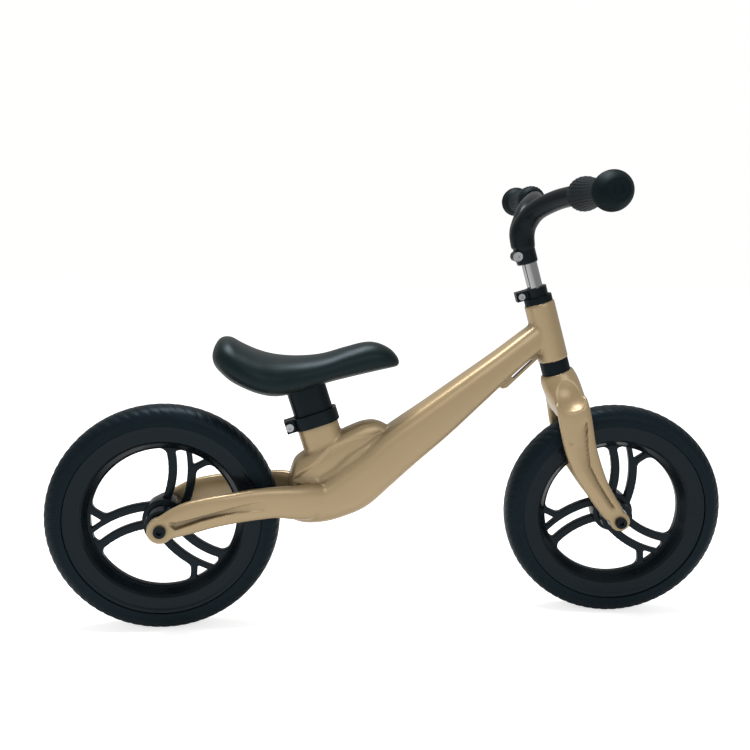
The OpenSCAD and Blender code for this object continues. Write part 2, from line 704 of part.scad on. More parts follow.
// Grip with a flared inner end, a waist and a round end knob, turned about Y
module grip() {
    translate([grip_reach, knob_y, grip_rise]) rotate([-90, 0, 0]) difference() {
        rotate_extrude() intersection() {
            union() {
                circle(r = 21.5);
                polygon([[0, -grip_l], [13.6, -grip_l], [16.8, -grip_l + 3], [19, -grip_l + 8],
                         [19.6, -grip_l + 14], [19.2, -grip_l + 22], [17.6, -grip_l + 32],
                         [15.9, -grip_l + 46], [15, -grip_l + 62], [15.2, -grip_l + 76], [16, 0], [0, 0]]);
            }
            translate([0, -grip_l]) square([30, grip_l + 17]);
        }
        translate([0, 0, -grip_l - 1]) cylinder(r = bar_r + fit, h = grip_l + 5.5);
    }
}

module left_grip() { color(black) bar_steered() grip(); }
module right_grip() { color(black) bar_steered() scale([1, -1, 1]) grip(); }

// ---------- wheel pieces in place ----------

module rear_axle() { color(steel) at_rear_axle() axle(arm_in); }
module rear_axle_bolts() { color(black) at_rear_axle() axle_bolts(arm_in, arm_foot_t); }
module rear_axle_spacers() { color(steel) at_rear_axle() axle_spacers(rear_hub_l, arm_in); }
module rear_hub_spacer() { color(steel) at_rear_axle() hub_spacer(rear_hub_l); }
module rear_bearings() { color(steel) at_rear_axle() bearings(rear_hub_l); }
module rear_rim() { color(black) at_rear_axle() rim(0, rear_hub_l); }
module rear_tyre() { color("#222326") at_rear_axle() tyre(); }
module front_axle() { color(steel) at_front_axle() axle(fork_in); }
module front_axle_bolts() { color(black) at_front_axle() axle_bolts(fork_in, fork_foot_t); }
module front_axle_spacers() { color(steel) at_front_axle() axle_spacers(front_hub_l, fork_in); }
module front_hub_spacer() { color(steel) at_front_axle() hub_spacer(front_hub_l); }
module front_bearings() { color(steel) at_front_axle() bearings(front_hub_l); }
module front_rim() { color(black) at_front_axle() rim(front_phase, front_hub_l); }
module front_tyre() { color("#222326") at_front_axle() tyre(); }

frame();
seat_clamp();
seat_clamp_bolt();
seat_post();
saddle_base();
saddle_screws();
saddle_pad();
rear_axle();
rear_axle_bolts();
rear_axle_spacers();
rear_hub_spacer();
rear_bearings();
rear_rim();
rear_tyre();
head_bearings();
fork();
steerer_tube();
lower_head_cover();
upper_head_cover();
steerer_collar();
collar_bolt();
front_axle();
front_axle_bolts();
front_axle_spacers();
front_hub_spacer();
front_bearings();
front_rim();
front_tyre();
handlebar_post();
handlebar();
handlebar_bolt();
left_grip();
right_grip();
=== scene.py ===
import json
import math

import bmesh
import bpy
import numpy as np
from mathutils import Matrix, Vector
from mathutils.geometry import delaunay_2d_cdt


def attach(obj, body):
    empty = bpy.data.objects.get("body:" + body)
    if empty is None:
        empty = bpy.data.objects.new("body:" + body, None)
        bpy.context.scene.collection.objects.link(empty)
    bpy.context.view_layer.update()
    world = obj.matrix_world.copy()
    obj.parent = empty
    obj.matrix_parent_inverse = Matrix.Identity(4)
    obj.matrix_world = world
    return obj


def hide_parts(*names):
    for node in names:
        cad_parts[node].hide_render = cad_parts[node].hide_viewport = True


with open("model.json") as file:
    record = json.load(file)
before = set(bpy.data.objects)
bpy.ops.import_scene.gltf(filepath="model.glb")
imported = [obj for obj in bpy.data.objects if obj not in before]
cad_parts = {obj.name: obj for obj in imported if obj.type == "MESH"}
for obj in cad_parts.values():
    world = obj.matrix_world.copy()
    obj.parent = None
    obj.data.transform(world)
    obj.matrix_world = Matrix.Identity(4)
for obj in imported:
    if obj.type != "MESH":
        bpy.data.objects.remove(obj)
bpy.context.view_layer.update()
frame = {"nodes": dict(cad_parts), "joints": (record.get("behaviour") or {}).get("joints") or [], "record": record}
nodes = frame["nodes"]
joints = {j["name"]: j for j in frame["joints"]}
scene = bpy.context.scene
print("frame loaded:", len(nodes), "nodes")

# Places. Lengths are in millimetres until a mesh is written.

# Matrix whose columns are the three axes, at the origin.
def axes(x, y, z, origin):
    m = Matrix([[x[i], y[i], z[i], origin[i]] for i in range(3)] + [[0, 0, 0, 1]])
    return np.array(m)


def jointPoint(name):
    return Vector(joints[name]["pos_m"]) * 1000


def jointAxis(name):
    return Vector(joints[name]["axis"])


rearAxle = jointPoint("rear_wheel_spin")
frontAxle = jointPoint("front_wheel_spin")
headFoot = jointPoint("steering")
steerAxis = jointAxis("steering")
side = Vector((0, 1, 0))
spin = jointAxis("front_wheel_spin")
tilt = math.asin(-steerAxis.x)

# bike: x from the rear axle, z from the ground. head and steered: z up the steering axis.
bike = axes((1, 0, 0), side, (0, 0, 1), (rearAxle.x, 0, 0))
head = axes(side.cross(steerAxis), side, steerAxis, headFoot)
steered = axes(spin.cross(steerAxis), spin, steerAxis, headFoot)
rearWheel = axes((1, 0, 0), side, (0, 0, 1), rearAxle)
levelTurn = np.array(Matrix.Rotation(tilt, 4, "Y"))
frontWheel = steered @ levelTurn
frontWheel[:3, 3] = frontAxle
seatAxis = jointAxis("seat_height")
seatTubeTop = (rearAxle.x + 195.7, 0, 270.7)
seat = axes(side.cross(seatAxis), side, seatAxis, seatTubeTop)
barSteer = math.radians(-4.5)
barFrame = head @ np.array(Matrix.Rotation(barSteer, 4, "Z"))


# Points of any array shape carried by a 4x4 matrix.
def moved(points, matrix):
    return points @ matrix[:3, :3].T + matrix[:3, 3]


# Curves and surfaces

# Catmull-Rom through the keys: half of
# 2b + (c - a) t + (2a - 5b + 4c - d) t^2 + (3b - a - 3c + d) t^3.
def smooth(keys, steps):
    k = np.array(keys, float)
    n = len(k) - 1
    i = np.repeat(np.arange(n), steps)
    t = np.tile(np.arange(steps) / steps, n)[:, None]
    a, b, c, d = k[np.maximum(i - 1, 0)], k[i], k[i + 1], k[np.minimum(i + 2, n)]
    p = 0.5 * (2 * b + (c - a) * t + (2 * a - 5 * b + 4 * c - d) * t**2 + (3 * b - a - 3 * c + d) * t**3)
    return np.vstack([p, k[-1:]])


# Direction of a row of points, from each one's neighbours.
def tangents(p):
    d = np.gradient(p, axis=0)
    return d / np.linalg.norm(d, axis=1, keepdims=True)


def power(x, e):
    return np.sign(x) * np.abs(x) ** e


# Rings across a path in the XZ plane. A key is x, y, z, up, down, half width, squareness:
# height = h sign(sin a) |sin a|^(2/n), width = w sign(cos a) |cos a|^(2/n).
def loft(keys, steps, sides):
    k = smooth(keys, steps)
    t = tangents(k[:, [0, 2]])
    a = 2 * math.pi * (np.arange(sides) + 0.5) / sides
    e = (2 / k[:, 6])[:, None]
    high = np.where(np.sin(a) > 0, k[:, 3:4], k[:, 4:5]) * power(np.sin(a)[None], e)
    wide = k[:, 5:6] * power(np.cos(a)[None], e)
    return np.stack([k[:, :1] + t[:, 1:] * high, k[:, 1:2] - wide, k[:, 2:3] - t[:, :1] * high], -1)


# Rings of a round bar through keys of x, y, z, radius: c + r (u cos a + v sin a),
# with u square to the path and to X, and v square to both the path and u.
def bar(keys, steps, sides):
    k = smooth(keys, steps)
    t = tangents(k[:, :3])
    u = np.cross(np.array([1.0, 0, 0]), t)
    u /= np.linalg.norm(u, axis=1, keepdims=True)
    v = np.cross(t, u)
    a = (2 * math.pi * np.arange(sides) / sides)[None, :, None]
    return k[:, None, :3] + k[:, None, 3:4] * (u[:, None] * np.cos(a) + v[:, None] * np.sin(a))


# Rings about Y from pairs of radius and y: (r cos a, y, r sin a).
def lathe(profile, sides):
    p = np.array(profile, float)
    a = 2 * math.pi * np.arange(sides) / sides
    one = np.ones(sides)
    return np.stack([p[:, :1] * np.cos(a), p[:, 1:] * one, p[:, :1] * np.sin(a)], -1)


# Mesh over rows of points. Each row closes on itself; the rows close into a ring or end in caps.
def gridMesh(name, grid, wrapRows=False):
    n, m = grid.shape[:2]
    index = np.arange(n * m).reshape(n, m)
    here = index if wrapRows else index[:-1]
    after = np.roll(index, -1, 0) if wrapRows else index[1:]
    quads = np.stack([here, np.roll(here, -1, 1), np.roll(after, -1, 1), after], -1).reshape(-1)
    starts = np.arange(0, len(quads), 4)
    loops = quads
    if not wrapRows:
        loops = np.concatenate([quads, index[0][::-1], index[-1]])
        starts = np.append(starts, [len(quads), len(quads) + m])
    mesh = bpy.data.meshes.new(name)
    mesh.vertices.add(n * m)
    mesh.vertices.foreach_set("co", (grid.reshape(-1, 3) * 0.001).ravel())
    mesh.loops.add(len(loops))
    mesh.loops.foreach_set("vertex_index", loops.astype(np.int32))
    mesh.polygons.add(len(starts))
    mesh.polygons.foreach_set("loop_start", starts.astype(np.int32))
    mesh.update(calc_edges=True)
    mesh.validate()
    return mesh


def newObject(name, mesh):
    obj = bpy.data.objects.new(name, mesh)
    scene.collection.objects.link(obj)
    return obj


# One object from several meshes, all with outward normals.
def joined(name, meshes):
    bm = bmesh.new()
    for mesh in meshes:
        bm.from_mesh(mesh)
        bpy.data.meshes.remove(mesh)
    bmesh.ops.recalc_face_normals(bm, faces=bm.faces)
    mesh = bpy.data.meshes.new(name)
    bm.to_mesh(mesh)
    bm.free()
    return newObject(name, mesh)


# Applies the object's modifiers to its mesh.
def bake(obj):
    dg = bpy.context.evaluated_depsgraph_get()
    mesh = bpy.data.meshes.new_from_object(obj.evaluated_get(dg))
    old = obj.data
    obj.modifiers.clear()
    obj.data = mesh
    bpy.data.meshes.remove(old)
    mesh.name = obj.name


# Overlapping closed meshes made into one skin, with its inner corners softened.
def fused(name, meshes, voxel, rounds):
    obj = joined(name, meshes)
    remesh = obj.modifiers.new("fuse", "REMESH")
    remesh.mode, remesh.voxel_size = "VOXEL", voxel * 0.001
    soften = obj.modifiers.new("soften", "SMOOTH")
    soften.factor, soften.iterations = 0.5, rounds
    bake(obj)
    return obj


# Takes the meshes, which don't touch each other, out of the object.
def cut(obj, meshes):
    tool = joined("cutter", meshes)
    m = obj.modifiers.new("cut", "BOOLEAN")
    m.operation, m.solver, m.object = "DIFFERENCE", "EXACT", tool
    bake(obj)
    bpy.data.objects.remove(tool)


# Smooth shading that keeps edges sharper than the angle.
def polish(obj, angle):
    mesh = obj.data
    mesh.polygons.foreach_set("use_smooth", np.ones(len(mesh.polygons), bool))
    mesh.set_sharp_from_angle(angle=math.radians(angle))


# Round rod along Y.
def tube(r, y0, y1, matrix, sides):
    return gridMesh("tube", moved(lathe([(r, y0), (r, y1)], sides), matrix))


# Prism over a closed outline of x, y pairs, from z0 to z1.
def column(outline, z0, z1, matrix):
    o = np.array(outline, float)
    rows = [np.column_stack([o, np.full(len(o), z)]) for z in (z0, z1)]
    return gridMesh("column", moved(np.array(rows), matrix))


# Outline of two half circles joined by straight sides.
def oval(length, width):
    a = np.linspace(-math.pi / 2, math.pi / 2, 24)
    c = np.column_stack([np.cos(a), np.sin(a)]) * width / 2
    shift = np.array([(length - width) / 2, 0])
    return np.vstack([c + shift, -c - shift])


# Outline of a narrow slit along X.
def slit(x0, x1, half):
    return [(x0, -half), (x1, -half), (x1, half), (x0, half)]


def circle(r, sides):
    a = 2 * math.pi * np.arange(sides) / sides
    return np.column_stack([r * np.cos(a), r * np.sin(a)])


# Camera, floor and light

camData = bpy.data.cameras.new("camera")
cam = bpy.data.objects.new("camera", camData)
scene.collection.objects.link(cam)
scene.camera = cam
camera = {"place": (121.6 + rearAxle.x, -1024.1, 502.3), "yaw": -8.25, "pitch": 9.15, "roll": 1.59,
          "lens": 38.5}
camData.lens, camData.sensor_width = camera["lens"], 36
camData.clip_start, camData.clip_end = 0.05, 50
cam.matrix_world = (
    Matrix.Translation(Vector(camera["place"]) * 0.001)
    @ Matrix.Rotation(math.radians(camera["yaw"]), 4, "Z")
    @ Matrix.Rotation(math.radians(90 - camera["pitch"]), 4, "X")
    @ Matrix.Rotation(math.radians(camera["roll"]), 4, "Z")
)

floorMesh = bpy.data.meshes.new("floor")
floorMesh.from_pydata([(-9, -6, 0), (9, -6, 0), (9, 9, 0), (-9, 9, 0)], [], [(0, 1, 2, 3)])
floor = newObject("floor", floorMesh)


def areaLight(name, place, target, size, watts):
    data = bpy.data.lights.new(name, "AREA")
    data.shape, data.size, data.size_y = "RECTANGLE", size[0], size[1]
    data.energy = watts
    obj = bpy.data.objects.new(name, data)
    scene.collection.objects.link(obj)
    obj.location = place
    obj.rotation_euler = (Vector(target) - Vector(place)).to_track_quat("-Z", "Y").to_euler()


areaLight("overhead", (-0.3, 0.2, 2.2), (0, 0, 0.2), (1.4, 0.8), 38)
areaLight("frontFill", (0.6, -2.4, 1.3), (0, 0, 0.3), (1.6, 1.2), 9)
world = bpy.data.worlds.new("world")
world.use_nodes = True
scene.world = world
world.node_tree.nodes["Background"].inputs["Color"].default_value = (1, 1, 0.995, 1)
worldTree = world.node_tree
worldRay = worldTree.nodes.new("ShaderNodeLightPath")
worldStrength = worldTree.nodes.new("ShaderNodeMapRange")
worldStrength.inputs["To Min"].default_value = 0.38
worldStrength.inputs["To Max"].default_value = 1.0
worldTree.links.new(worldRay.outputs["Is Camera Ray"], worldStrength.inputs["Value"])
worldTree.links.new(worldStrength.outputs["Result"], worldTree.nodes["Background"].inputs["Strength"])
scene.view_settings.view_transform = "Standard"

# Materials

# Normal from noise: fine grain plus a faint larger unevenness, both in object coordinates.
def grainGroup():
    g = bpy.data.node_groups.new("grain", "ShaderNodeTree")
    face = g.interface
    face.new_socket("Scale", in_out="INPUT", socket_type="NodeSocketFloat")
    face.new_socket("Depth", in_out="INPUT", socket_type="NodeSocketFloat")
    face.new_socket("Normal", in_out="OUTPUT", socket_type="NodeSocketVector")
    inp, out = g.nodes.new("NodeGroupInput"), g.nodes.new("NodeGroupOutput")
    where = g.nodes.new("ShaderNodeTexCoord")
    fine, coarse = g.nodes.new("ShaderNodeTexNoise"), g.nodes.new("ShaderNodeTexNoise")
    fine.inputs["Detail"].default_value = 3
    coarse.inputs["Scale"].default_value = 60
    add = g.nodes.new("ShaderNodeMath")
    add.operation = "ADD"
    bump = g.nodes.new("ShaderNodeBump")
    bump.inputs["Strength"].default_value = 1
    g.links.new(where.outputs["Object"], fine.inputs["Vector"])
    g.links.new(where.outputs["Object"], coarse.inputs["Vector"])
    g.links.new(inp.outputs["Scale"], fine.inputs["Scale"])
    g.links.new(fine.outputs["Fac"], add.inputs[0])
    g.links.new(coarse.outputs["Fac"], add.inputs[1])
    g.links.new(add.outputs[0], bump.inputs["Height"])
    g.links.new(inp.outputs["Depth"], bump.inputs["Distance"])
    g.links.new(bump.outputs["Normal"], out.inputs["Normal"])
    return g


grain = grainGroup()


# Finish of two colours mixed by noise, with roughness that follows the same noise by roughSpread,
# a coat, the grain above, and painted shade: an occlusion node darkens the colour in creases and recesses within
# the reach of the last argument.
def material(name, light, dark, mottle, rough, metal=0.0, coat=0.0, coatRough=0.1, grainScale=900,
             depth=0.00005, roughSpread=0.0, specular=0.5, tint=(1, 1, 1), paintedShadeReach=0.0):
    mat = bpy.data.materials.new(name)
    mat.use_nodes = True
    nt = mat.node_tree
    bsdf = nt.nodes["Principled BSDF"]
    where, noise = nt.nodes.new("ShaderNodeTexCoord"), nt.nodes.new("ShaderNodeTexNoise")
    noise.inputs["Scale"].default_value = mottle
    noise.inputs["Detail"].default_value = 4
    nt.links.new(where.outputs["Object"], noise.inputs["Vector"])
    mix = nt.nodes.new("ShaderNodeMix")
    mix.data_type = "RGBA"
    mix.inputs["A"].default_value, mix.inputs["B"].default_value = (*dark, 1), (*light, 1)
    nt.links.new(noise.outputs["Fac"], mix.inputs["Factor"])
    if paintedShadeReach:
        # Painted shade: the colour is darkened where creases and recesses close in.
        paintedShadeNode = nt.nodes.new("ShaderNodeAmbientOcclusion")
        paintedShadeNode.inputs["Distance"].default_value = paintedShadeReach
        nt.links.new(mix.outputs["Result"], paintedShadeNode.inputs["Color"])
        nt.links.new(paintedShadeNode.outputs["Color"], bsdf.inputs["Base Color"])
    else:
        nt.links.new(mix.outputs["Result"], bsdf.inputs["Base Color"])
    if roughSpread:
        spread = nt.nodes.new("ShaderNodeMapRange")
        spread.inputs["To Min"].default_value = rough - roughSpread
        spread.inputs["To Max"].default_value = rough + roughSpread
        nt.links.new(noise.outputs["Fac"], spread.inputs["Value"])
        nt.links.new(spread.outputs["Result"], bsdf.inputs["Roughness"])
    else:
        bsdf.inputs["Roughness"].default_value = rough
    bsdf.inputs["Metallic"].default_value = metal
    bsdf.inputs["Specular IOR Level"].default_value = specular
    bsdf.inputs["Specular Tint"].default_value = (*tint, 1)
    bsdf.inputs["Coat Weight"].default_value = coat
    bsdf.inputs["Coat Roughness"].default_value = coatRough
    g = nt.nodes.new("ShaderNodeGroup")
    g.node_tree = grain
    g.inputs["Scale"].default_value = grainScale
    g.inputs["Depth"].default_value = depth
    nt.links.new(g.outputs["Normal"], bsdf.inputs["Normal"])
    return mat


# The gold's colour carries painted shade in its creases and recesses, with a reach of 14 mm.
gold = material("goldPaint", (0.52, 0.385, 0.212), (0.485, 0.36, 0.197), 2500, 0.34, metal=0.4, coat=0.45,
                coatRough=0.18, grainScale=1500, depth=0.00003, paintedShadeReach=0.014)
cool = (0.6, 0.85, 1.0)
glossBlack = material("glossBlack", (0.005, 0.008, 0.011), (0.003, 0.005, 0.007), 40, 0.24, coat=0.12,
                      coatRough=0.1, grainScale=400, depth=0.00002, roughSpread=0.05, specular=0.2, tint=cool)
mattBlack = material("mattBlack", (0.006, 0.009, 0.011), (0.004, 0.006, 0.008), 60, 0.45, grainScale=1600,
                     depth=0.00008, roughSpread=0.06, specular=0.15, tint=cool)
satinBlack = material("satinBlack", (0.005, 0.007, 0.009), (0.003, 0.005, 0.006), 30, 0.3, coat=0.08,
                      coatRough=0.2, grainScale=1200, depth=0.00003, roughSpread=0.04, specular=0.18,
                      tint=cool)
foam = material("foamTyre", (0.006, 0.012, 0.017), (0.004, 0.008, 0.011), 45, 0.42, grainScale=1300,
                depth=0.00008, roughSpread=0.07, specular=0.18, tint=cool)
skin = material("saddleSkin", (0.006, 0.013, 0.013), (0.004, 0.009, 0.009), 35, 0.4, coat=0.05,
                coatRough=0.35, grainScale=1900, depth=0.00006, roughSpread=0.05, specular=0.25, tint=cool)
rubber = material("gripRubber", (0.005, 0.010, 0.012), (0.003, 0.007, 0.008), 60, 0.5, grainScale=1500,
                  depth=0.0001, roughSpread=0.06, specular=0.15, tint=cool)
chrome = material("chrome", (0.50, 0.50, 0.51), (0.42, 0.42, 0.43), 25, 0.1, metal=1, grainScale=300,
                  depth=0.000005, roughSpread=0.03)
steel = material("zincSteel", (0.55, 0.56, 0.58), (0.45, 0.46, 0.48), 120, 0.3, metal=1, grainScale=2200,
                 depth=0.00002, roughSpread=0.08)
pale = material("paleFloor", (0.93, 0.93, 0.925), (0.92, 0.92, 0.915), 3, 0.9, grainScale=200, depth=0.00001,
                specular=0.1)
paleTree = pale.node_tree
paleRay, paleGlow = paleTree.nodes.new("ShaderNodeLightPath"), paleTree.nodes.new("ShaderNodeMath")
paleGlow.operation = "MULTIPLY"
paleGlow.inputs[1].default_value = 0.68
paleTree.links.new(paleRay.outputs["Is Camera Ray"], paleGlow.inputs[0])
paleTree.links.new(paleGlow.outputs[0], paleTree.nodes["Principled BSDF"].inputs["Emission Strength"])
paleTree.nodes["Principled BSDF"].inputs["Emission Color"].default_value = (1, 1, 1, 1)
floor.data.materials.append(pale)

slotFinish = {
    "gold_paint": gold, "rim_plastic": glossBlack, "black_plastic": mattBlack, "black_paint": satinBlack,
    "foam_tyre": foam, "saddle_skin": skin, "grip_rubber": rubber, "chrome": chrome, "steel": steel,
}
slotOf = {s["node"]: s["material_slot"] for s in frame["record"]["subparts"]}
for name, obj in nodes.items():
    obj.data.materials.clear()
    obj.data.materials.append(slotFinish[slotOf[name]])


# Gives a piece its finish, its body and the CAD nodes that it stands for.
def dress(obj, finish, body, *replaced):
    obj.data.materials.clear()
    obj.data.materials.append(finish)
    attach(obj, body)
    if replaced:
        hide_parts(*replaced)


print("stage and materials made")

# Wheels

# Closed outline with its corners turned into arcs of radius r.
def rounded(points, r, n=6):
    p = np.array(points, float)
    out = []
    for i in range(len(p)):
        a, b, c = p[i - 1], p[i], p[(i + 1) % len(p)]
        u, v = (a - b) / np.linalg.norm(a - b), (c - b) / np.linalg.norm(c - b)
        half = math.acos(np.clip(u @ v, -1, 1)) / 2
        middle = b + (u + v) / np.linalg.norm(u + v) * r / math.sin(half)
        start = b + u * r / math.tan(half) - middle
        end = b + v * r / math.tan(half) - middle
        turn = math.atan2(start[0] * end[1] - start[1] * end[0], start @ end)
        for t in np.linspace(0, turn, n):
            out.append(middle + np.array([start[0] * math.cos(t) - start[1] * math.sin(t),
                                          start[0] * math.sin(t) + start[1] * math.cos(t)]))
    return np.array(out)


def turned(points, degrees):
    c, s = math.cos(math.radians(degrees)), math.sin(math.radians(degrees))
    return points @ np.array([[c, s], [-s, c]])


# "window" and "hub" are the radii that bound the windows, "arc" that of the line between a pair of spokes,
# "slot" their gap, "bar" one spoke's width, and "strut" the width of the wall round the small triangle.
rim = {
    "window": 92, "hub": 25, "arc": 121, "arcDistance": 118, "slot": 13, "bar": 11, "strut": 8.5, "corner": 9,
    "slotEnds": (96.5, 131), "spokeEnds": (84, 142), "webOuter": 99, "webHole": 17, "depth": 9, "edge": 1.5,
    "seat": 112, "lip": 124, "hubR": 21, "core": 27, "coreHalf": 13, "bore": 12, "bearing": 14.05,
    "bearingDepth": 9,
}
arcMiddle = rim["arcDistance"] * np.array([math.cos(math.radians(266)), math.sin(math.radians(266))])
cornerAngles = np.radians([175.5, 188, 182])
cornerRadii = np.array([rim["window"] + 2, rim["window"] + 2, rim["window"] - 13.5])
cornerPoints = cornerRadii[:, None] * np.column_stack([np.cos(cornerAngles), np.sin(cornerAngles)])


# Distance from points to the nearest solid part round a main window, with the triangle grown by its strut.
def clearance(p):
    r = np.linalg.norm(p, axis=-1)
    d = np.minimum(rim["window"] - r, r - rim["hub"])
    for k in range(3):
        q = turned(p, -120 * k)
        spoke = q - arcMiddle
        band = np.abs(np.linalg.norm(spoke, axis=-1) - rim["arc"]) - rim["slot"] / 2 - rim["bar"]
        around = np.degrees(np.arctan2(spoke[..., 1], spoke[..., 0])) % 360
        here = (around > rim["spokeEnds"][0]) & (around < rim["spokeEnds"][1])
        d = np.where(here, np.minimum(d, band), d)
        for i in range(3):
            a, b = cornerPoints[i], cornerPoints[(i + 1) % 3]
            t = np.clip(((q - a) @ (b - a)) / ((b - a) @ (b - a)), 0, 1)
            d = np.minimum(d, np.linalg.norm(q - a - t[..., None] * (b - a), axis=-1) - rim["strut"])
    return d


# Outline of a main window with corners of radius r: rays from its middle meet the line that stays r clear,
# and the outline is everything within r of that line.
def windowOutline(r):
    g = np.arange(-90, 91, 1.5)
    grid = np.stack(np.meshgrid(g, g, indexing="ij"), -1)
    d = clearance(grid)
    angle = np.degrees(np.arctan2(grid[..., 1], grid[..., 0])) % 360
    d[(angle < 250) | (angle > 370)] = -1
    middle = grid[np.unravel_index(np.argmax(d), d.shape)]
    a = 2 * math.pi * np.arange(720) / 720
    ray = np.column_stack([np.cos(a), np.sin(a)])
    t = np.arange(0, 110, 0.25)
    inside = clearance(middle + t[None, :, None] * ray[:, None]) > r
    reach = t[np.argmin(inside, axis=1)]
    line = middle + reach[:, None] * ray
    ray = ray[::5]
    far = middle + t[None, :, None] * ray[:, None]
    near = np.min(np.linalg.norm(far[:, :, None] - line[None, None, ::3], axis=-1), axis=2) < r
    last = t[len(t) - 1 - np.argmax(near[:, ::-1], axis=1)]
    return middle + last[:, None] * ray


# The slot between a pair of spokes: a rounded rectangle bent round the spokes' middle.
def slotOutline():
    a0, a1 = np.radians(rim["slotEnds"])
    arc, half = rim["arc"], rim["slot"] / 2
    flat = rounded([(a0 * arc, -half), (a1 * arc, -half), (a1 * arc, half), (a0 * arc, half)], 3, 6)
    dense = np.vstack([np.linspace(flat[i - 1], flat[i], 14)[1:] if np.linalg.norm(flat[i] - flat[i - 1]) > 10
                       else flat[i:i + 1] for i in range(len(flat))])
    r, a = arc + dense[:, 1], dense[:, 0] / arc
    return arcMiddle + r[:, None] * np.column_stack([np.cos(a), np.sin(a)])


# True for points inside a closed outline: a level ray from them crosses it an odd number of times.
def within(p, outline):
    a, b = outline, np.roll(outline, -1, 0)
    x, y = p[:, :1], p[:, 1:2]
    cross = (a[:, 1] > y) != (b[:, 1] > y)
    rise = np.where(a[:, 1] == b[:, 1], 1, b[:, 1] - a[:, 1])
    hit = x < a[:, 0] + (y - a[:, 1]) * (b[:, 0] - a[:, 0]) / rise
    return np.sum(cross & hit, axis=1) % 2 == 1


# Flat web between outlines, with round edges: each outline steps through a quarter circle of radius b.
def web(outer, holes, depth, b, matrix):
    quarter = np.radians([0, 22.5, 45, 67.5, 90])
    rows = [(b * (1 - math.cos(a)), depth / 2 - b + b * math.sin(a)) for a in quarter[::-1]]
    rows += [(x, -y) for x, y in rows[::-1]]
    points, faces, flats, edges, count = [], [], [], [], 0
    for n, outline in enumerate([outer] + holes):
        o = np.array(outline)
        area = np.sum(o[:, 0] * np.roll(o[:, 1], -1) - o[:, 1] * np.roll(o[:, 0], -1))
        if (area < 0) != (n > 0):
            o = o[::-1]
        t = np.roll(o, -1, 0) - np.roll(o, 1, 0)
        t /= np.linalg.norm(t, axis=1, keepdims=True)
        inward = np.column_stack([-t[:, 1], t[:, 0]])
        m = len(o)
        rings = [o + inward * x for x, y in rows]
        points += [np.column_stack([q[:, 0], np.full(m, y), q[:, 1]]) for q, (x, y) in zip(rings, rows)]
        index = count + np.arange(len(rows) * m).reshape(len(rows), m)
        count += len(rows) * m
        here, after = index[:-1], index[1:]
        quads = np.stack([here, np.roll(here, -1, 1), np.roll(after, -1, 1), after], -1).reshape(-1, 4)
        faces += quads.tolist()
        flats.append((rings[0], index[0], index[-1]))
    flat = np.vstack([f[0] for f in flats])
    top, foot = np.concatenate([f[1] for f in flats]), np.concatenate([f[2] for f in flats])
    start = 0
    for ring, _, _ in flats:
        edges += [(start + i, start + (i + 1) % len(ring)) for i in range(len(ring))]
        start += len(ring)
    made = delaunay_2d_cdt([Vector(p) for p in flat], edges, [], 0, 1e-5)
    tris = np.array([o[0] for o in made[3]])[np.array(made[2])]
    middle = flat[tris].mean(axis=1)
    keep = within(middle, flats[0][0])
    for ring, _, _ in flats[1:]:
        keep &= ~within(middle, ring)
    tris = tris[keep]
    faces += top[tris].tolist() + foot[tris[:, ::-1]].tolist()
    mesh = bpy.data.meshes.new("web")
    mesh.from_pydata((moved(np.vstack(points), matrix) * 0.001).tolist(), [], faces)
    return mesh


def eased(profile, r):
    return rounded(profile, r, 4)


# One moulding: a flat web with its windows, and a ring and a hub turned about Y.
def wheel(name, matrix, phase, hubLength, body, node):
    holes = []
    big, slot = windowOutline(rim["corner"]), slotOutline()
    corner = rounded(cornerPoints, 1.6, 5)
    for k in range(3):
        holes += [turned(o, 120 * k + phase) for o in (big, slot, corner)]
    holes.append(circle(rim["webHole"], 96))
    disc = web(circle(rim["webOuter"], 240), holes, rim["depth"], rim["edge"], matrix)
    window, lip, seatR = rim["window"], rim["lip"], rim["seat"]
    ring = [(window, 4), (window + 3, 6.5), (window + 9, 14.5), (window + 12, 17.5), (lip - 6, 18.5),
            (lip, 20.3), (lip, 18.5), (seatR, 16.3)]
    ring = eased(ring + [(x, -y) for x, y in ring[::-1]], 0.7)
    hub = hubLength / 2
    hubR, coreR, high, bore, bearing = (rim[x] for x in ("hubR", "core", "coreHalf", "bore", "bearing"))
    step = hub - rim["bearingDepth"]
    core = [(hubR, hub), (hubR, high), (coreR, high), (coreR, -high), (hubR, -high), (hubR, -hub),
            (bearing, -hub), (bearing, -step), (bore, -step), (bore, step), (bearing, step), (bearing, hub)]
    meshes = [disc]
    for profile, sides in ((ring, 288), (eased(core, 0.6), 96)):
        loop = lathe(np.vstack([profile, profile[:1]]), sides)[:-1]
        meshes.append(gridMesh("turned", moved(loop, matrix), wrapRows=True))
    obj = joined(name, meshes)
    polish(obj, 25)
    dress(obj, glossBlack, body, node)


tyreShape = {
    "middle": 126, "half": 22.5, "round": 0.77, "lip": 124.3, "seat": 112.1, "between": 16.3, "around": 1440,
    "ribs": 288, "ribHeight": 0.45, "ribBand": (130.5, 137), "waves": 72, "waveDepth": 0.3, "tread": 138.5,
    "groove": 128.6, "grooveDepth": 0.35,
}


